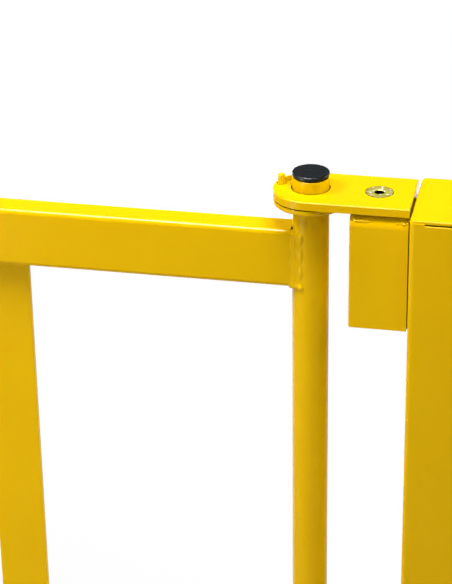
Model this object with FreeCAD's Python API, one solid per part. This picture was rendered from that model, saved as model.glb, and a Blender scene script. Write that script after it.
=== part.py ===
import FreeCAD, Part
import math
import os

# A yellow steel railing gate: one leaf on a round hinge tube, hung between two square posts.
# Millimetres. +X is right, +Y is away from the approach side, +Z is up.
# The origin is under the middle of the hinge post's base plate.

Vector = FreeCAD.Vector
ORIGIN = Vector(0, 0, 0)
UP = Vector(0, 0, 1)

# Posts, cut from square hollow section
post_size = 100.0
post_wall = 4.0
post_corner = 5.0
post_top = 1100.0
cap_thickness = 3.0
cap_inset = 0.5
cap_edge = 1.2

# Open joints under the caps, stopped where the corner welds are ground flush
joint_height = 1.8
joint_depth = 3.2
joint_edge = 0.8
joint_to_corner = 14.0

# Base plates with their anchor holes
base_size = 180.0
base_thickness = 12.0
base_corner = 8.0
anchor_spacing = 140.0
anchor_hole = 14.0

# Hinge tube and its plastic plugs
tube_diameter = 35.0
tube_wall = 3.0
tube_edge = 0.5
tube_above_plate = 11.5
plug_diameter = 35.4
plug_foot = 32.4
plug_head = 4.9
plug_flare = 2.2
plug_edge = 1.0
plug_stem = 14.0
plug_play = 0.2

# Hinge plates, round at the tube and square at the post
axis_to_post = 98.6
plate_to_post = 1.5
plate_above_cap = 4.0
plate_width = 72.0
plate_thickness = 8.0
plate_edge = 1.2
bore_play = 1.1

# Collars on the tube, and the stop pin that runs in the upper plate's arc slot
collar_inset = 0.5
collar_thickness = 5.0
collar_gap = 1.4
collar_edge = 1.5
collar_play = 0.1
pin_diameter = 7.0
pin_height = 10.0
pin_dome = 1.5
pin_from_axis = 28.9
pin_closed_angle = 171.0
slot_play = 1.0
slot_stop_gap = 0.3
opening_angle = 90.0

# Brackets that carry the plates: folded channels, each on a mounting plate that holds it just off the post
bracket_from_axis = 41.6
bracket_height = 117.0
bracket_wall = 6.0
bracket_bend = 14.0
bracket_end_thickness = 4.0
bracket_end_edge = 1.5
bracket_to_post = 2.2
bracket_mount_thickness = 8.0

# Countersunk socket screws
screw_from_axis = 64.7
screw_head = 26.0
screw_shank = 12.0
screw_length = 28.0
screw_rim = 0.4
screw_socket = 8.0
screw_socket_depth = 4.5
screw_socket_mouth = 0.5
screw_play = 0.55

# Leaf: rails in rectangular hollow section, uprights in flat bar
rail_height = 60.0
rail_depth = 30.0
rail_wall = 3.0
rail_corner = 5.0
rail_below_plate = 39.5
rail_plug_head = 4.0
rail_plug_edge = 1.0
upright_width = 50.0
upright_thickness = 6.0
upright_edge = 0.8
upright_gap = 262.6
upright_names = ("hinge_side_upright", "middle_upright", "free_end_upright")
weld_reach = 8.2
weld_proud = 0.4
weld_sink = 1.3
weld_depth = 5.0
weld_short = 1.0
weld_below = 1.2
latch_clearance = 25.0
lower_plate_bottom = 150.0

# Places that follow from the sizes above
plate_top = post_top + plate_above_cap
plate_bottom = plate_top - plate_thickness
middle_height = (plate_top + lower_plate_bottom) / 2
hinge_x = -post_size / 2 - axis_to_post
tube_radius = tube_diameter / 2
tube_bore = tube_radius - tube_wall
tube_top = plate_top + tube_above_plate
collar_top = plate_bottom - collar_gap
rail_middle = plate_top - rail_below_plate - rail_height / 2
leaf_reach = tube_radius + len(upright_names) * (upright_gap + upright_width)
free_end_x = hinge_x - leaf_reach
rail_length = leaf_reach - tube_radius
latch_post_x = free_end_x - rail_plug_head - latch_clearance - post_size / 2


def rounded_bar(width, depth, length, corner):
    """A solid bar standing on the origin, with its four long edges rounded."""
    bar = Part.makeBox(width, depth, length, Vector(-width / 2, -depth / 2, 0))
    long_edges = [edge for edge in bar.Edges if edge.BoundBox.ZLength > length / 2]
    return bar.makeFillet(corner, long_edges)


def hollow_bar(width, depth, length, corner, wall):
    """A rectangular hollow section standing on the origin."""
    core = rounded_bar(width - 2 * wall, depth - 2 * wall, length, corner - wall)
    return rounded_bar(width, depth, length, corner).cut(core)


def laid_along_x(bar, x, z):
    """A standing bar laid down to run along +X, from x, with its middle at height z."""
    return bar.rotated(ORIGIN, Vector(0, 1, 0), 90).translated(Vector(x, 0, z))


def level_edges(shape, height):
    """The edges of a shape that lie flat at one height."""
    return [edge for edge in shape.Edges
            if edge.BoundBox.ZLength < 0.01 and abs(edge.BoundBox.ZMin - height) < 0.01]


def at_hinge(angle, radius, height):
    """A point on a circle round the hinge axis, the angle counted from +X."""
    turn = math.radians(angle)
    return Vector(hinge_x + radius * math.cos(turn), radius * math.sin(turn), height)


def hinge_cylinder(radius, bottom, top):
    """A round bar on the hinge axis."""
    return Part.makeCylinder(radius, top - bottom, Vector(hinge_x, 0, bottom))


def lower_copy(shape):
    """The same piece at the lower hinge, whose bracket carries its plate in the same way."""
    return shape.translated(Vector(0, 0, lower_plate_bottom - plate_bottom))


def turned_over(shape):
    """The same piece at the leaf's lower end, upside down, so that the lower collar rides on its plate."""
    return shape.mirror(Vector(0, 0, middle_height), UP)


def make_cap_joint(top):
    """The open joint under the cap's front side, with the post's edge rounded below it."""
    start = joint_to_corner - post_size / 2
    front = -post_size / 2
    floor = top - joint_height
    round_off = joint_edge * (1 - math.sqrt(0.5))
    lip_face = Vector(start, front, floor - joint_edge)
    lip_middle = Vector(start, front + round_off, floor - round_off)
    lip_top = Vector(start, front + joint_edge, floor)
    inner_floor = Vector(start, front + joint_depth, floor)
    inner_top = Vector(start, front + joint_depth, top)
    mouth_top = Vector(start, front, top)
    profile = Part.Face(Part.Wire([
        Part.Arc(lip_face, lip_middle, lip_top).toShape(),
        Part.LineSegment(lip_top, inner_floor).toShape(),
        Part.LineSegment(inner_floor, inner_top).toShape(),
        Part.LineSegment(inner_top, mouth_top).toShape(),
        Part.LineSegment(mouth_top, lip_face).toShape(),
    ]))
    return profile.extrude(Vector(post_size - 2 * joint_to_corner, 0, 0))


def make_post(x):
    """A post, with an open joint under its cap along each of the four sides."""
    length = post_top - cap_thickness - base_thickness
    post = hollow_bar(post_size, post_size, length, post_corner, post_wall)
    for side in range(4):
        post = post.cut(make_cap_joint(length).rotated(ORIGIN, UP, 90 * side))
    return post.translated(Vector(x, 0, base_thickness))


def make_post_cap(x):
    """A flat cap, a little smaller than the post, rounded along its top edge."""
    size = post_size - 2 * cap_inset
    cap = rounded_bar(size, size, cap_thickness, post_corner)
    cap = cap.makeFillet(cap_edge, level_edges(cap, cap_thickness))
    return cap.translated(Vector(x, 0, post_top - cap_thickness))


def make_base_plate(x):
    plate = rounded_bar(base_size, base_size, base_thickness, base_corner)
    for side_x in (-0.5, 0.5):
        for side_y in (-0.5, 0.5):
            place = Vector(side_x * anchor_spacing, side_y * anchor_spacing, 0)
            plate = plate.cut(Part.makeCylinder(anchor_hole / 2, base_thickness, place))
    return plate.translated(Vector(x, 0, 0))


def make_screw(play):
    """The countersunk screw; with play it is the hole that takes it."""
    head = screw_head / 2 + play
    shank = screw_shank / 2 + play
    cone_bottom = plate_top - screw_rim - (head - shank)
    points = [
        Vector(0, 0, plate_top),
        Vector(head, 0, plate_top),
        Vector(head, 0, plate_top - screw_rim),
        Vector(shank, 0, cone_bottom),
        Vector(shank, 0, plate_top - screw_length),
        Vector(0, 0, plate_top - screw_length),
    ]
    profile = Part.Face(Part.makePolygon(points + points[:1]))
    screw = profile.revolve(ORIGIN, UP, 360)
    return screw.translated(Vector(hinge_x + screw_from_axis, 0, 0))


def make_socket_screw():
    """The screw with its hexagon socket, whose mouth is countersunk."""
    corner_radius = screw_socket / math.sqrt(3)
    socket_bottom = plate_top - screw_socket_depth
    corners = []
    for step in range(7):
        turn = math.radians(60 * step)
        x = hinge_x + screw_from_axis + corner_radius * math.cos(turn)
        corners.append(Vector(x, corner_radius * math.sin(turn), socket_bottom))
    socket = Part.Face(Part.makePolygon(corners)).extrude(Vector(0, 0, screw_socket_depth))
    mouth_radius = corner_radius + screw_socket_mouth
    mouth_bottom = Vector(hinge_x + screw_from_axis, 0, plate_top - screw_socket_mouth)
    mouth = Part.makeCone(corner_radius - 0.1, mouth_radius, screw_socket_mouth, mouth_bottom)
    return make_screw(0).cut(socket).cut(mouth)


def make_hinge_plate():
    """The round-ended plate with its bore for the tube and its countersunk hole."""
    half = plate_width / 2
    far = hinge_x + axis_to_post - plate_to_post
    front_start = Vector(hinge_x, -half, plate_bottom)
    front_end = Vector(far, -half, plate_bottom)
    back_start = Vector(far, half, plate_bottom)
    back_end = Vector(hinge_x, half, plate_bottom)
    outline = Part.Wire([
        Part.LineSegment(front_start, front_end).toShape(),
        Part.LineSegment(front_end, back_start).toShape(),
        Part.LineSegment(back_start, back_end).toShape(),
        Part.Arc(back_end, Vector(hinge_x - half, 0, plate_bottom), front_start).toShape(),
    ])
    plate = Part.Face(outline).extrude(Vector(0, 0, plate_thickness))
    plate = plate.makeFillet(plate_edge, level_edges(plate, plate_top))
    plate = plate.cut(hinge_cylinder(tube_radius + bore_play, plate_bottom, plate_top))
    return plate.cut(make_screw(screw_play))


def make_stop_slot():
    """The arc slot, a little wider than the pin, with round ends that stop it at its two limits."""
    half = pin_diameter / 2 + slot_play
    spare_angle = math.degrees((slot_play - slot_stop_gap) / pin_from_axis)
    first_angle = pin_closed_angle - opening_angle + spare_angle
    last_angle = pin_closed_angle - spare_angle
    start = Vector(hinge_x, 0, plate_bottom)
    sector = Part.makeCylinder(pin_from_axis + half, plate_thickness, start, UP, last_angle - first_angle)
    sector = sector.cut(hinge_cylinder(pin_from_axis - half, plate_bottom, plate_top))
    slot = sector.rotated(start, UP, first_angle)
    for angle in (first_angle, last_angle):
        end = at_hinge(angle, pin_from_axis, plate_bottom)
        slot = slot.fuse(Part.makeCylinder(half, plate_thickness, end))
    return slot


def arched_bar(from_axis, length, inset):
    """A bar along +X with the bracket's section, square below and bent round above, less an inset."""
    x = hinge_x + from_axis
    half = plate_width / 2 - inset
    top = plate_bottom - inset
    bottom = plate_bottom - bracket_height
    bend = bracket_bend - inset
    knee = bend * (1 - math.sqrt(0.5))
    front_foot = Vector(x, -half, bottom)
    front_bend = Vector(x, -half, top - bend)
    front_knee = Vector(x, -half + knee, top - knee)
    front_top = Vector(x, -half + bend, top)
    back_top = Vector(x, half - bend, top)
    back_knee = Vector(x, half - knee, top - knee)
    back_bend = Vector(x, half, top - bend)
    back_foot = Vector(x, half, bottom)
    outline = Part.Wire([
        Part.LineSegment(front_foot, front_bend).toShape(),
        Part.Arc(front_bend, front_knee, front_top).toShape(),
        Part.LineSegment(front_top, back_top).toShape(),
        Part.Arc(back_top, back_knee, back_bend).toShape(),
        Part.LineSegment(back_bend, back_foot).toShape(),
        Part.LineSegment(back_foot, front_foot).toShape(),
    ])
    return Part.Face(outline).extrude(Vector(length, 0, 0))


def make_bracket():
    """The channel under the plate, open at the bottom and drilled for the screw."""
    start = bracket_from_axis + bracket_end_thickness
    length = axis_to_post - bracket_to_post - start
    channel = arched_bar(start, length, 0).cut(arched_bar(start, length, bracket_wall))
    return channel.cut(make_screw(screw_play))


def make_bracket_end_plate():
    """The plate that closes the channel's end towards the tube, broken along its outer edge."""
    end = arched_bar(bracket_from_axis, bracket_end_thickness, 0)
    face_x = hinge_x + bracket_from_axis
    rim = [edge for edge in end.Edges if abs(edge.BoundBox.XMax - face_x) < 0.01]
    return end.makeFillet(bracket_end_edge, rim)


def make_bracket_mount():
    """The plate inside the channel that seats on the post and stands a little proud of the channel."""
    return arched_bar(axis_to_post - bracket_mount_thickness, bracket_mount_thickness, bracket_wall)


def make_hinge_tube():
    """The tube, rounded at the outer edges of its two ends."""
    bottom = lower_plate_bottom - tube_above_plate
    tube = hinge_cylinder(tube_radius, bottom, tube_top)
    tube = tube.makeFillet(tube_edge, level_edges(tube, bottom) + level_edges(tube, tube_top))
    return tube.cut(hinge_cylinder(tube_bore, bottom, tube_top))


def make_tube_plug():
    """The pressed-in plug: a flared head with a round rim on the tube's end, and a stem in its bore."""
    head_top = tube_top + plug_head
    rim_radius = plug_diameter / 2
    flare = Part.makeCone(plug_foot / 2, rim_radius, plug_flare, Vector(hinge_x, 0, tube_top))
    rim = hinge_cylinder(rim_radius, tube_top + plug_flare, head_top)
    rim = rim.makeFillet(plug_edge, level_edges(rim, head_top))
    stem = hinge_cylinder(tube_bore - plug_play, tube_top - plug_stem, tube_top)
    return flare.fuse(rim).fuse(stem)


def make_collar():
    radius = plate_width / 2 - collar_inset
    bottom = collar_top - collar_thickness
    disc = hinge_cylinder(radius, bottom, collar_top)
    disc = disc.makeFillet(collar_edge, level_edges(disc, bottom))
    return disc.cut(hinge_cylinder(tube_radius + collar_play, bottom, collar_top))


def make_stop_pin():
    top = plate_top + pin_height
    foot = at_hinge(pin_closed_angle, pin_from_axis, collar_top)
    pin = Part.makeCylinder(pin_diameter / 2, top - collar_top, foot)
    return pin.makeFillet(pin_dome, level_edges(pin, top))


def make_rail():
    """The rail, cut square where it meets the round tube."""
    rail = hollow_bar(rail_height, rail_depth, rail_length, rail_corner, rail_wall)
    return laid_along_x(rail, free_end_x, rail_middle)


def make_rail_plug():
    """The plug in the rail's free end: a flat head outside and a stem in the section."""
    head = rounded_bar(rail_height, rail_depth, rail_plug_head, rail_corner)
    head = head.makeChamfer(rail_plug_edge, level_edges(head, 0))
    inside = 2 * (rail_wall + plug_play)
    stem = rounded_bar(rail_height - inside, rail_depth - inside, plug_stem, rail_corner - rail_wall)
    plug = head.fuse(stem.translated(Vector(0, 0, rail_plug_head)))
    return laid_along_x(plug, free_end_x - rail_plug_head, rail_middle)


def make_rail_weld():
    """The two beads that fill the wedges between the rail's square end and the tube."""
    rail_end = hinge_x - tube_radius
    half = rail_depth / 2
    bottom = rail_middle - rail_height / 2 - weld_below
    top = rail_middle + rail_height / 2 - weld_short
    beads = []
    for side in (-1, 1):
        toe_on_rail = Vector(rail_end, side * (half + weld_proud), bottom)
        crown = Vector(rail_end + weld_reach / 2, side * (half - weld_proud), bottom)
        toe_on_tube = Vector(rail_end + weld_reach, side * (half - weld_sink), bottom)
        root_at_tube = Vector(rail_end + weld_reach, side * (half - weld_depth), bottom)
        root_at_rail = Vector(rail_end, side * (half - weld_depth), bottom)
        face = Part.Face(Part.Wire([
            Part.Arc(toe_on_rail, crown, toe_on_tube).toShape(),
            Part.LineSegment(toe_on_tube, root_at_tube).toShape(),
            Part.LineSegment(root_at_tube, root_at_rail).toShape(),
            Part.LineSegment(root_at_rail, toe_on_rail).toShape(),
        ]))
        beads.append(face.extrude(Vector(0, 0, top - bottom)))
    tube = hinge_cylinder(tube_radius, bottom, top)
    return Part.makeCompound([bead.cut(tube).Solids[0] for bead in beads])


def make_upright(index):
    """A flat upright welded between the rails, counted from the hinge side."""
    rail_bottom = rail_middle - rail_height / 2
    foot = 2 * middle_height - rail_bottom
    bar = rounded_bar(upright_width, upright_thickness, rail_bottom - foot, upright_edge)
    x = hinge_x - tube_radius - (index + 1) * (upright_gap + upright_width) + upright_width / 2
    return bar.translated(Vector(x, 0, foot))


nodes = {
    "hinge_post": make_post(0),
    "hinge_post_cap": make_post_cap(0),
    "hinge_post_base_plate": make_base_plate(0),
    "latch_post": make_post(latch_post_x),
    "latch_post_cap": make_post_cap(latch_post_x),
    "latch_post_base_plate": make_base_plate(latch_post_x),
    "upper_hinge_plate": make_hinge_plate().cut(make_stop_slot()),
    "lower_hinge_plate": lower_copy(make_hinge_plate()),
    "hinge_tube": make_hinge_tube(),
    "tube_top_plug": make_tube_plug(),
    "tube_bottom_plug": turned_over(make_tube_plug()),
    "upper_collar": make_collar(),
    "lower_collar": turned_over(make_collar()),
    "stop_pin": make_stop_pin(),
    "top_rail": make_rail(),
    "bottom_rail": turned_over(make_rail()),
    "top_rail_plug": make_rail_plug(),
    "bottom_rail_plug": turned_over(make_rail_plug()),
    "top_rail_weld": make_rail_weld(),
    "bottom_rail_weld": turned_over(make_rail_weld()),
}

bracket_pieces = {
    "hinge_bracket": make_bracket(),
    "bracket_mounting_plate": make_bracket_mount(),
    "bracket_end_plate": make_bracket_end_plate(),
    "hinge_screw": make_socket_screw(),
}
for name, shape in bracket_pieces.items():
    nodes["upper_" + name] = shape
    nodes["lower_" + name] = lower_copy(shape)

for index, name in enumerate(upright_names):
    nodes[name] = make_upright(index)

os.makedirs("parts", exist_ok=True)
for name, shape in nodes.items():
    print(name, shape.ShapeType, len(shape.Solids), shape.isValid(), round(shape.Volume / 1000, 1))
    shape.exportStep("parts/" + name + ".step")
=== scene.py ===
import bmesh
import bpy
import math
from mathutils import Matrix, Vector


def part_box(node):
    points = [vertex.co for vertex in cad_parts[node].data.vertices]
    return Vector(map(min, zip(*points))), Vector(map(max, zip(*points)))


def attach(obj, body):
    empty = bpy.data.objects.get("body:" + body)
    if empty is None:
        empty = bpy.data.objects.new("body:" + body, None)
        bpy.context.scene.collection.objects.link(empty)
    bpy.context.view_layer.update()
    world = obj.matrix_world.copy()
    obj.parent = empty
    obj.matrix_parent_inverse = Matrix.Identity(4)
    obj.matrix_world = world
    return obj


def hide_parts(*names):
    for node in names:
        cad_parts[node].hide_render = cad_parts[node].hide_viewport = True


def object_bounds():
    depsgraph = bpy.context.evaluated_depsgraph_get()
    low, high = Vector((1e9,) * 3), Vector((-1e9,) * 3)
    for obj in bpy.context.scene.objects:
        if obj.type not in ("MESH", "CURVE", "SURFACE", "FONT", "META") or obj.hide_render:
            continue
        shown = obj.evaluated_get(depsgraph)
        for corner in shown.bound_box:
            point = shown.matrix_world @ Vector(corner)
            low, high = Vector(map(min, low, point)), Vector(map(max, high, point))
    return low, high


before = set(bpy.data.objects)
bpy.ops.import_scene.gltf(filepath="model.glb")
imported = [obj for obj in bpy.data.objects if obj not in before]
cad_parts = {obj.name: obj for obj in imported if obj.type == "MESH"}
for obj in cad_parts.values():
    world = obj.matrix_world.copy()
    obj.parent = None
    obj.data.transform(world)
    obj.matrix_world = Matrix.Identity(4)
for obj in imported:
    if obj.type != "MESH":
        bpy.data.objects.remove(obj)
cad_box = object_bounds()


# Posts: two square hollow sections that stand on the floor and carry the gate. Like all the steel
# here they are powder coated in one yellow, smooth and fairly glossy, with the faint orange peel that
# a baked coat flows out to. In narrow gaps the coat is darkened to brown as painted shade.
coat_yellow = (0.74, 0.434, 0.0, 1)
coat_deep_yellow = (0.715, 0.411, 0.0, 1)
# Painted bounce light: the yellow that rays of bounced light see on the coat, less orange.
painted_bounce_yellow = (0.73, 0.62, 0.0, 1)
coat_drift_pitch = 0.09
coat_gloss = 0.06
coat_roughness = 0.2
coat_roughness_spread = 0.03
orange_peel_pitch = 0.0022
orange_peel_height = 0.00002
# Painted shade: the dark brown that the coat turns where other steel stands within the reach.
painted_gap_shade = (0.03, 0.018, 0.0, 1)
crevice_reach = 0.006
crevice_rays = 8
crevice_closed = 0.12
crevice_open = 0.42
noise_low = 0.3
noise_high = 0.7


def new_material(name):
    """A material with its node tree, its principled shader and its object coordinates."""
    material = bpy.data.materials.new(name)
    material.use_nodes = True
    tree = material.node_tree
    shader = tree.nodes["Principled BSDF"]
    coordinates = tree.nodes.new("ShaderNodeTexCoord").outputs["Object"]
    return material, tree, shader, coordinates


def add_noise(tree, coordinates, pitch, detail):
    """A noise whose lumps are about one pitch apart, in metres."""
    noise = tree.nodes.new("ShaderNodeTexNoise")
    noise.inputs["Scale"].default_value = 1 / pitch
    noise.inputs["Detail"].default_value = detail
    tree.links.new(coordinates, noise.inputs["Vector"])
    return noise.outputs["Fac"]


def add_steps(tree, value, start, end, first, last):
    """A number that goes from first to last while a value goes from start to end."""
    steps = tree.nodes.new("ShaderNodeMapRange")
    steps.inputs["From Min"].default_value = start
    steps.inputs["From Max"].default_value = end
    steps.inputs["To Min"].default_value = first
    steps.inputs["To Max"].default_value = last
    tree.links.new(value, steps.inputs["Value"])
    return steps.outputs["Result"]


def add_range(tree, value, low, high):
    """A noise, which keeps mostly to its middle, stretched to run from low to high."""
    return add_steps(tree, value, noise_low, noise_high, low, high)


def add_colours(tree, value, first, second):
    """A colour that goes from the first, fixed or computed, to the second with a value."""
    mix = tree.nodes.new("ShaderNodeMix")
    mix.data_type = "RGBA"
    if isinstance(first, tuple):
        mix.inputs["A"].default_value = first
    else:
        tree.links.new(first, mix.inputs["A"])
    mix.inputs["B"].default_value = second
    tree.links.new(value, mix.inputs["Factor"])
    return mix.outputs["Result"]


def add_bump(tree, shader, value, height):
    """Relief of that height, in metres, on the shader."""
    bump = tree.nodes.new("ShaderNodeBump")
    bump.inputs["Distance"].default_value = height
    tree.links.new(value, bump.inputs["Height"])
    tree.links.new(bump.outputs["Normal"], shader.inputs["Normal"])


def make_powder_coat():
    """The coat, with no blue in it. Rays of bounced light see a less orange yellow than the camera
    does, a painted bounce light that keeps faces in shade from turning orange. Painted shade darkens
    it to brown where other steel stands close in front of it."""
    material, tree, shader, coordinates = new_material("yellow_powder_coat")
    drift = add_range(tree, add_noise(tree, coordinates, coat_drift_pitch, detail=3), 0, 1)
    colour = add_colours(tree, drift, coat_yellow, coat_deep_yellow)
    # Painted bounce light: bounced rays see the coat in the less orange yellow.
    bounced = tree.nodes.new("ShaderNodeLightPath").outputs["Is Diffuse Ray"]
    coated = add_colours(tree, bounced, colour, painted_bounce_yellow)
    # Painted shade: ambient occlusion darkens the coat in narrow gaps between parts.
    hollow = tree.nodes.new("ShaderNodeAmbientOcclusion")
    hollow.samples = crevice_rays
    hollow.inputs["Distance"].default_value = crevice_reach
    gap_shade_share = add_steps(tree, hollow.outputs["AO"], crevice_closed, crevice_open, first=1, last=0)
    tree.links.new(add_colours(tree, gap_shade_share, coated, painted_gap_shade), shader.inputs["Base Color"])
    smoothest = coat_roughness - coat_roughness_spread
    roughest = coat_roughness + coat_roughness_spread
    tree.links.new(add_range(tree, drift, smoothest, roughest), shader.inputs["Roughness"])
    shader.inputs["Specular IOR Level"].default_value = coat_gloss
    peel = add_noise(tree, coordinates, orange_peel_pitch, detail=1)
    add_bump(tree, shader, peel, orange_peel_height)
    return material


def finish_nodes(material, *names):
    """Gives CAD nodes their finish."""
    for name in names:
        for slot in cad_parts[name].material_slots:
            slot.material = material


powder_coat = make_powder_coat()
finish_nodes(powder_coat, "hinge_post", "latch_post")


# Post caps: flat plates laid on the posts, welded at the four corners and ground flush there, so
# that an open joint shows along the middle of each side.
finish_nodes(powder_coat, "hinge_post_cap", "latch_post_cap")


# Base plates: thick flats with anchor holes, joined to the posts by a fillet weld all round.
# The weld is laid by hand, so it swells and thins along its run, and it is coated with the rest.
foot_weld_leg = 0.007
foot_weld_bulge = 0.0008
foot_weld_corner = 0.012
foot_weld_swell = 0.0016
foot_weld_pitch = 0.006
foot_weld_cuts_along = 40
foot_weld_cuts_up = 3
sharp_edge = math.radians(40)


def start_piece(name):
    """Names the primitive just added and puts its place and size into its mesh."""
    piece = bpy.context.object
    piece.name = name
    piece.data.name = name
    bpy.ops.object.transform_apply(location=True, rotation=True, scale=True)
    return piece


def select_parts(piece, kind, test):
    """In edit mode, selects the vertices, edges or faces that pass a test. The test is given the
    middle of the part's box, its place, and the size of that box, its run."""
    bpy.ops.mesh.select_mode(type=kind)
    bpy.ops.mesh.select_all(action="DESELECT")
    mesh = bmesh.from_edit_mesh(piece.data)
    parts = {"VERT": mesh.verts, "EDGE": mesh.edges, "FACE": mesh.faces}[kind]
    for part in parts:
        corners = [part.co] if kind == "VERT" else [corner.co for corner in part.verts]
        low = Vector([min(corner[axis] for corner in corners) for axis in range(3)])
        high = Vector([max(corner[axis] for corner in corners) for axis in range(3)])
        if test((low + high) / 2, high - low):
            part.select_set(True)
    mesh.select_flush_mode()
    bmesh.update_edit_mesh(piece.data)


def apply_modifier(piece, kind, **settings):
    """Adds a modifier with its settings and applies it."""
    bpy.ops.object.select_all(action="DESELECT")
    piece.select_set(True)
    bpy.context.view_layer.objects.active = piece
    modifier = piece.modifiers.new(kind.lower(), kind)
    for setting, value in settings.items():
        setattr(modifier, setting, value)
    bpy.ops.object.modifier_apply(modifier=modifier.name)


def make_swell(name, pitch):
    """The slow unevenness of hand welding, as a cloud texture for displacement."""
    swell = bpy.data.textures.new(name, "CLOUDS")
    swell.noise_scale = pitch
    swell.noise_depth = 1
    return swell


def fit_piece(piece, body, material):
    """Gives a finished piece its smooth shading and finish, and lets it ride on a body."""
    bpy.ops.object.select_all(action="DESELECT")
    piece.select_set(True)
    bpy.context.view_layer.objects.active = piece
    bpy.ops.object.shade_smooth_by_angle(angle=sharp_edge)
    piece.data.materials.clear()
    piece.data.materials.append(material)
    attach(piece, body)


def make_foot_weld(name, post, plate):
    """A fillet weld round a post's foot: a low block that tapers from the weld's outline on the plate
    to the post's own outline, with bulging, uneven sides."""
    post_low, post_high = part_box(post)
    floor_of_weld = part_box(plate)[1].z
    post_size = post_high.x - post_low.x
    weld_size = post_size + 2 * foot_weld_leg
    middle = Vector(((post_low.x + post_high.x) / 2, 0, floor_of_weld + foot_weld_leg / 2))
    bpy.ops.object.select_all(action="DESELECT")
    bpy.ops.mesh.primitive_cube_add(size=1, location=middle, scale=(weld_size, weld_size, foot_weld_leg))
    weld = start_piece(name)
    bpy.ops.object.mode_set(mode="EDIT")
    select_parts(weld, "EDGE", lambda place, run: run.z > foot_weld_leg / 2)
    bpy.ops.mesh.bevel(offset=foot_weld_corner, segments=6)
    select_parts(weld, "FACE", lambda place, run: place.z > middle.z + foot_weld_leg / 4)
    taper = post_size / weld_size
    bpy.ops.transform.resize(value=(taper, taper, 1), center_override=middle)
    select_parts(weld, "EDGE", lambda place, run: max(run.x, run.y) > post_size / 2)
    bpy.ops.mesh.subdivide(number_cuts=foot_weld_cuts_along)
    select_parts(weld, "EDGE", lambda place, run: run.z > foot_weld_leg / 2)
    bpy.ops.mesh.subdivide(number_cuts=foot_weld_cuts_up)
    bulge = 1 + 2 * foot_weld_bulge / weld_size
    select_parts(weld, "VERT", lambda place, run: abs(place.z - middle.z) < foot_weld_leg / 3)
    bpy.ops.transform.resize(value=(bulge, bulge, 1), center_override=middle)
    bpy.ops.object.mode_set(mode="OBJECT")
    swell = make_swell(name, foot_weld_pitch)
    apply_modifier(weld, "DISPLACE", texture=swell, texture_coords="GLOBAL", strength=foot_weld_swell)
    fit_piece(weld, "posts", powder_coat)


finish_nodes(powder_coat, "hinge_post_base_plate", "latch_post_base_plate")
make_foot_weld("hinge_post_foot_weld", "hinge_post", "hinge_post_base_plate")
make_foot_weld("latch_post_foot_weld", "latch_post", "latch_post_base_plate")


# Hinge brackets: folded steel channels with a closing plate towards the tube and a mounting plate
# on the post. Thin seams of weld on the bends, under the hinge plate, hold the channel's two ends.
# The drops sway and swell in waves, whose turns are given in radians from one drop to the next.
bracket_bend = 0.014
tack_below_plate = 0.0072
tack_radius = 0.0010
tack_pitch = 0.001
tack_length = 0.013
tack_from_end = 0.0045
tack_sway = 0.0003
tack_sway_turn = 2.1
tack_swell = 0.2
tack_swell_turn = 2.7
tack_rise = 0.004
tack_rise_scale = 0.8
spatter_count = 4
spatter_pitch = 0.0028
spatter_from_end = 0.0015
spatter_sway = 0.0005
spatter_sway_turn = 3.1
spatter_scale = 1.35
spatter_swell = 0.3
spatter_swell_turn = 1.7
tack_grain = 0.00025
tack_softness = 8


def fuse_drops(name, drops, drop_radius, grain, softness):
    """A weld bead: overlapping drops joined and fused into one smooth skin."""
    bpy.ops.object.select_all(action="DESELECT")
    balls = []
    for place, scale in drops:
        radius = drop_radius * scale
        bpy.ops.mesh.primitive_uv_sphere_add(segments=24, ring_count=14, radius=radius, location=place)
        balls.append(bpy.context.object)
    for ball in balls:
        ball.select_set(True)
    bpy.ops.object.join()
    bead = start_piece(name)
    apply_modifier(bead, "REMESH", mode="VOXEL", voxel_size=grain)
    apply_modifier(bead, "SMOOTH", factor=0.5, iterations=softness)
    return bead


def bend_place(bracket_high, x, side, below):
    """A place on the channel's front or back bend, at a depth below the hinge plate."""
    turn = math.asin(1 - below / bracket_bend)
    y = side * (bracket_high.y - bracket_bend * (1 - math.cos(turn)))
    return Vector((x, y, bracket_high.z - below))


def make_bracket_tacks(level):
    """On each bend, a seam that turns up at the tube's end, and a few drops at the post's end."""
    bracket_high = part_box(level + "hinge_bracket")[1]
    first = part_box(level + "bracket_end_plate")[0].x + tack_from_end
    last = bracket_high.x - spatter_from_end
    drops = []
    for side in (-1, 1):
        for step in range(int(tack_length / tack_pitch) + 1):
            below = tack_below_plate + tack_sway * math.sin(tack_sway_turn * step + side)
            place = bend_place(bracket_high, first + step * tack_pitch, side, below)
            drops.append((place, 1 + tack_swell * math.sin(tack_swell_turn * step)))
        for step in range(1, int(tack_rise / tack_pitch) + 1):
            place = bend_place(bracket_high, first, side, tack_below_plate - step * tack_pitch)
            drops.append((place, tack_rise_scale))
        for step in range(spatter_count):
            below = tack_below_plate + spatter_sway * math.sin(spatter_sway_turn * step + side)
            place = bend_place(bracket_high, last - step * spatter_pitch, side, below)
            drops.append((place, spatter_scale + spatter_swell * math.sin(spatter_swell_turn * step)))
    tacks = fuse_drops(level + "bracket_tacks", drops, tack_radius, tack_grain, tack_softness)
    fit_piece(tacks, "posts", powder_coat)


for level in ("upper_", "lower_"):
    finish_nodes(powder_coat, level + "hinge_bracket", level + "bracket_end_plate")
    finish_nodes(powder_coat, level + "bracket_mounting_plate")
    make_bracket_tacks(level)


# Hinge plates: round-ended flats, bored for the tube and countersunk, the upper one with the arc
# slot of the stop pin. Each is held down on its bracket by a zinc plated socket screw with a nut.
zinc_olive = (0.49, 0.455, 0.055, 1)
zinc_pale = (0.76, 0.70, 0.72, 1)
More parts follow.
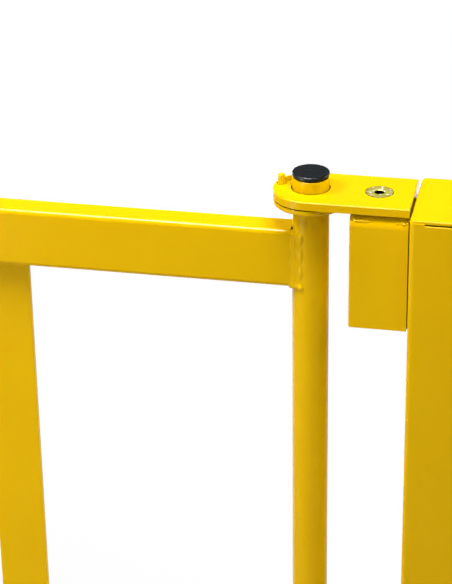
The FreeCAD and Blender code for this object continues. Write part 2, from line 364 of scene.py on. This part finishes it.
# Painted shade: the black of the sockets and of the gap round the heads' edge.
painted_shade_black = (0.0015, 0.0010, 0.0012, 1)
speckle_pitch = 0.0030
speckle_from = 0.56
speckle_full = 0.64
zinc_smoothest = 0.36
zinc_roughest = 0.48
zinc_grain_pitch = 0.0008
zinc_grain_height = 0.00004
socket_radius = 0.0048
socket_blur = 0.0001
rim_radius = 0.0125
rim_width = 0.0003
rim_shade_share = 0.8
nut_across_flats = 0.018
nut_height = 0.010
nut_below_plate_top = 0.014
nut_edge = 0.0008
nut_mouth = 0.0028


def add_distance(tree, coordinates, middle, level):
    """The distance from a place, counted in plan only where level is 0."""
    shifted = tree.nodes.new("ShaderNodeMapping")
    shifted.inputs["Location"].default_value = (-middle.x, -middle.y, 0)
    shifted.inputs["Scale"].default_value = (1, 1, level)
    tree.links.new(coordinates, shifted.inputs["Vector"])
    distance = tree.nodes.new("ShaderNodeVectorMath")
    distance.operation = "LENGTH"
    tree.links.new(shifted.outputs["Vector"], distance.inputs[0])
    return distance.outputs["Value"]


def make_zinc():
    """Speckled plating, with painted shade: black in the screws' sockets and darkened round the edge of
    their heads. The two screws stand on one line, so both are measured from the upper one."""
    material, tree, shader, coordinates = new_material("zinc_plated_steel")
    shader.inputs["Metallic"].default_value = 1
    mottle = add_noise(tree, coordinates, speckle_pitch, detail=2)
    speckle = add_steps(tree, mottle, speckle_from, speckle_full, first=0, last=1)
    speckled = add_colours(tree, speckle, zinc_olive, zinc_pale)
    screw_low, screw_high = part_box("upper_hinge_screw")
    radius = add_distance(tree, coordinates, (screw_low + screw_high) / 2, level=0)
    # Painted shade in the gap round the head's edge.
    rim_shade_mask = add_steps(tree, radius, rim_radius, rim_radius + rim_width, first=0, last=rim_shade_share)
    plated = add_colours(tree, rim_shade_mask, speckled, painted_shade_black)
    socket_inner = socket_radius - socket_blur
    socket_outer = socket_radius + socket_blur
    # Painted shade filling the socket.
    socket = add_steps(tree, radius, socket_inner, socket_outer, first=1, last=0)
    tree.links.new(add_colours(tree, socket, plated, painted_shade_black), shader.inputs["Base Color"])
    tree.links.new(add_range(tree, mottle, zinc_smoothest, zinc_roughest), shader.inputs["Roughness"])
    add_bump(tree, shader, add_noise(tree, coordinates, zinc_grain_pitch, detail=2), zinc_grain_height)
    return material


def make_nut(name, screw):
    """A hexagon nut on a screw's end, with broken edges and a countersunk mouth."""
    screw_low, screw_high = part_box(screw)
    middle = (screw_low + screw_high) / 2
    top = screw_high.z - nut_below_plate_top
    bottom = top - nut_height
    bpy.ops.object.select_all(action="DESELECT")
    bpy.ops.mesh.primitive_cylinder_add(
        vertices=6, radius=nut_across_flats / math.sqrt(3), depth=nut_height,
        location=(middle.x, middle.y, (top + bottom) / 2))
    nut = start_piece(name)
    bpy.ops.object.mode_set(mode="EDIT")
    select_parts(nut, "FACE", lambda place, run: place.z < bottom + nut_edge)
    bpy.ops.mesh.inset(thickness=nut_mouth)
    bpy.ops.transform.translate(value=(0, 0, nut_mouth / 2))
    select_parts(nut, "EDGE", lambda place, run: run.x + run.y > nut_across_flats / 3)
    bpy.ops.mesh.bevel(offset=nut_edge, segments=2)
    bpy.ops.object.mode_set(mode="OBJECT")
    fit_piece(nut, "posts", zinc)


zinc = make_zinc()
for level in ("upper_", "lower_"):
    finish_nodes(powder_coat, level + "hinge_plate")
    finish_nodes(zinc, level + "hinge_screw")
    make_nut(level + "hinge_nut", level + "hinge_screw")


# Hinge tube with its collars and stop pin: one upright pipe that turns in the two plates, with a
# welded disc at each plate and a pin that stands up from the upper disc through the plate's slot.
finish_nodes(powder_coat, "hinge_tube", "upper_collar", "lower_collar", "stop_pin")


# Plugs: black polyethylene, injection moulded and pressed into the open ends of tube and rails.
# They keep the fine grain of the mould.
plug_black = (0.0025, 0.0045, 0.0062, 1)
plug_gloss = 0.2
plug_smoothest = 0.22
plug_roughest = 0.28
plug_mottle_pitch = 0.004
plug_grain_pitch = 0.0006
plug_grain_height = 0.00002


def make_black_plastic():
    """Moulded plastic of one colour, a little uneven in its gloss and finely grained."""
    material, tree, shader, coordinates = new_material("black_plastic")
    shader.inputs["Base Color"].default_value = plug_black
    mottle = add_noise(tree, coordinates, plug_mottle_pitch, detail=2)
    tree.links.new(add_range(tree, mottle, plug_smoothest, plug_roughest), shader.inputs["Roughness"])
    shader.inputs["Specular IOR Level"].default_value = plug_gloss
    add_bump(tree, shader, add_noise(tree, coordinates, plug_grain_pitch, detail=1), plug_grain_height)
    return material


black_plastic = make_black_plastic()
finish_nodes(black_plastic, "tube_top_plug", "tube_bottom_plug", "top_rail_plug", "bottom_rail_plug")


# Rails and uprights: two rectangular steel tubes with three flat bars welded between them. With the
# hinge tube they make the open leaf, and they are coated together with it.
finish_nodes(powder_coat, "top_rail", "bottom_rail")
finish_nodes(powder_coat, "hinge_side_upright", "middle_upright", "free_end_upright")


# Rail welds: the rails are cut square against the round tube, and a broad bead laid upwards fills
# the wedge at the front and the back. Each bead starts in a thick drop and is coated with the rest.
bead_radius = 0.0043
bead_grain = 0.00045
bead_softness = 24
bead_pitch = 0.0022
bead_columns = (
    (0.0014, 0.0003, 0.03, 1.0),
    (0.0046, 0.0008, 0.05, 1.0),
    (0.0080, 0.0012, 0.08, 1.2),
    (0.0112, 0.0021, 0.12, 1.25),
)
bead_drop_lift = 0.0018
bead_top_short = 0.0055
bead_lump_turn = 0.8
bead_lump_turn_across = 300
bead_stagger = 0.3 * bead_pitch
bead_stagger_turn_across = 900


def make_rail_beads(name, node, rail):
    """The front and back beads of one rail: columns of drops from the rail's end to the tube's side.
    A column has its distance from the rail's end, how proud it stands, how uneven it is, and the
    scale of the drop that it starts with. The waves of its lumps and heights turn by radians for
    each drop upwards and for each metre across."""
    rail_low, rail_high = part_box(rail)
    first = rail_low.z + bead_drop_lift
    last = rail_high.z - bead_top_short
    count = int((last - first) / bead_pitch) + 1
    drops = []
    for side in (-1, 1):
        for step in range(count):
            height = first + step * (last - first) / (count - 1)
            for reach, proud, unevenness, drop_scale in bead_columns:
                lump = math.sin(bead_lump_turn * step + side + bead_lump_turn_across * reach)
                scale = drop_scale if step == 0 else 1 + unevenness * lump
                y = side * (rail_high.y + proud - bead_radius)
                lift = bead_stagger * math.sin(bead_stagger_turn_across * reach)
                drops.append((Vector((rail_high.x + reach, y, height + lift)), scale))
    beads = fuse_drops(name, drops, bead_radius, bead_grain, bead_softness)
    fit_piece(beads, "leaf", powder_coat)
    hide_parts(node)


finish_nodes(powder_coat, "top_rail_weld", "bottom_rail_weld")
make_rail_beads("top_rail_beads", "top_rail_weld", "top_rail")
make_rail_beads("bottom_rail_beads", "bottom_rail_weld", "bottom_rail")


# Floor and background: a wide white floor that keeps the gate's shadow, under a sky that is white
# at the horizon and dark grey higher up.
floor_half = 60
floor_white = (0.6, 0.6, 0.6, 1)
floor_glow_near = 0.6
floor_glow_far = 1.0
floor_near = 0.5
floor_far = 1.05
sky_light = 0.05
sky_above = 0.1
sky_white_to = math.sin(math.radians(8))
sky_grey_from = math.sin(math.radians(20))


def add_seen_directly(tree):
    """1 for rays from the camera, mirrors and glass, and 0 for those that carry light."""
    path = tree.nodes.new("ShaderNodeLightPath")
    seen = path.outputs["Is Camera Ray"]
    for name in ("Is Glossy Ray", "Is Transmission Ray"):
        join = tree.nodes.new("ShaderNodeMath")
        join.operation = "MAXIMUM"
        tree.links.new(seen, join.inputs[0])
        tree.links.new(path.outputs[name], join.inputs[1])
        seen = join.outputs["Value"]
    return seen


def make_floor_paper():
    """Paper that shows the gate's shadow close by and turns to plain white further out."""
    material, tree, shader, coordinates = new_material("floor_paper")
    shader.inputs["Base Color"].default_value = floor_white
    shader.inputs["Roughness"].default_value = 1
    shader.inputs["Specular IOR Level"].default_value = 0
    glow = tree.nodes.new("ShaderNodeEmission")
    distance = add_distance(tree, coordinates, (cad_box[0] + cad_box[1]) / 2, level=1)
    glow_there = add_steps(tree, distance, floor_near, floor_far, floor_glow_near, floor_glow_far)
    glow_share = tree.nodes.new("ShaderNodeMath")
    glow_share.operation = "MULTIPLY"
    tree.links.new(add_seen_directly(tree), glow_share.inputs[0])
    tree.links.new(glow_there, glow_share.inputs[1])
    blend = tree.nodes.new("ShaderNodeMixShader")
    tree.links.new(glow_share.outputs["Value"], blend.inputs["Fac"])
    tree.links.new(shader.outputs["BSDF"], blend.inputs[1])
    tree.links.new(glow.outputs["Emission"], blend.inputs[2])
    tree.links.new(blend.outputs["Shader"], tree.nodes["Material Output"].inputs["Surface"])
    return material


def make_white_sky():
    """A sky that is seen as a white backdrop, and that lights the gate only faintly."""
    sky = bpy.data.worlds.new("white_sky")
    sky.use_nodes = True
    tree = sky.node_tree
    direction = tree.nodes.new("ShaderNodeTexCoord").outputs["Generated"]
    parts = tree.nodes.new("ShaderNodeSeparateXYZ")
    tree.links.new(direction, parts.inputs["Vector"])
    backdrop = add_steps(tree, parts.outputs["Z"], sky_white_to, sky_grey_from, first=1, last=sky_above)
    strength = tree.nodes.new("ShaderNodeMapRange")
    strength.inputs["To Min"].default_value = sky_light
    tree.links.new(backdrop, strength.inputs["To Max"])
    tree.links.new(add_seen_directly(tree), strength.inputs["Value"])
    background = tree.nodes["Background"]
    background.inputs["Color"].default_value = (1, 1, 1, 1)
    tree.links.new(strength.outputs["Result"], background.inputs["Strength"])
    return sky


bpy.ops.object.select_all(action="DESELECT")
bpy.ops.mesh.primitive_plane_add(size=2 * floor_half)
floor = bpy.context.object
floor.name = "floor"
floor.data.materials.append(make_floor_paper())
bpy.context.scene.world = make_white_sky()


# Studio lamps: a large soft box above the hinge and a little in front of it, weaker ones at the
# right, at the left, low at the front and behind, and a narrow strip overhead that shows only in
# reflections, as the bright lines along the rounded edges.
hinge_low, hinge_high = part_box("hinge_tube")
hinge_x = (hinge_low.x + hinge_high.x) / 2
plate_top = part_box("upper_hinge_plate")[1].z
hinge_top = Vector((hinge_x, 0, plate_top))


def add_lamp(name, offset, width, depth, power):
    """A soft box at an offset from the hinge's top, turned towards it."""
    lamp = bpy.data.lights.new(name, "AREA")
    lamp.shape = "RECTANGLE"
    lamp.size = width
    lamp.size_y = depth
    lamp.energy = power
    lamp_object = bpy.data.objects.new(name, lamp)
    bpy.context.scene.collection.objects.link(lamp_object)
    lamp_object.location = hinge_top + Vector(offset)
    lamp_object.rotation_euler = Vector(offset).to_track_quat("Z", "Y").to_euler()
    lamp_object.visible_camera = False
    return lamp_object


add_lamp("overhead_lamp", (0.22, -0.48, 1.95), width=1.2, depth=0.6, power=58)
add_lamp("front_fill", (1.1, -1.1, 1.3), width=0.6, depth=0.6, power=8)
add_lamp("left_lamp", (-1.2, -0.4, 1.3), width=0.6, depth=0.6, power=28)
add_lamp("low_front_lamp", (-0.9, -0.9, -0.4), width=0.4, depth=0.4, power=5.5)
add_lamp("back_left_lamp", (-1.2, 1.2, 0.4), width=0.6, depth=0.6, power=8)
add_lamp("back_lamp", (-0.4, 1.5, -0.45), width=0.6, depth=0.6, power=12)
add_lamp("right_lamp", (1.5, 0.55, 0.1), width=0.6, depth=0.6, power=12)
edge_strip = add_lamp("edge_strip", (-0.5, -0.55, 2.0), width=1.2, depth=0.2, power=360)
edge_strip.visible_diffuse = False


# Camera: in front of the hinge and above it, turned a little to the left, as the gate is seen. The
# lens is shifted downwards, so that the camera tilts less and upright edges converge less.
image_height = 584
focal_pixels = 2000
lens_shift = -0.19
camera_from_hinge = Vector((0.2786, -1.6888, 0.7613))
yaw = math.radians(12.022)
pitch = math.radians(23.788)
roll = math.radians(-0.919)
camera_data = bpy.data.cameras.new("camera")
camera_data.sensor_width = 36
camera_data.lens = focal_pixels / image_height * camera_data.sensor_width
camera_data.shift_y = lens_shift
camera_data.clip_end = 200
camera = bpy.data.objects.new("camera", camera_data)
bpy.context.scene.collection.objects.link(camera)
forward = Vector((-math.sin(yaw) * math.cos(pitch), math.cos(yaw) * math.cos(pitch), -math.sin(pitch)))
level_right = Vector((math.cos(yaw), math.sin(yaw), 0))
level_up = level_right.cross(forward)
right = math.cos(roll) * level_right + math.sin(roll) * level_up
up = -math.sin(roll) * level_right + math.cos(roll) * level_up
turn = Matrix((right, up, -forward)).transposed()
camera.matrix_world = Matrix.LocRotScale(hinge_top + camera_from_hinge, turn, None)
bpy.context.scene.camera = camera
bpy.context.scene.view_settings.view_transform = "Standard"
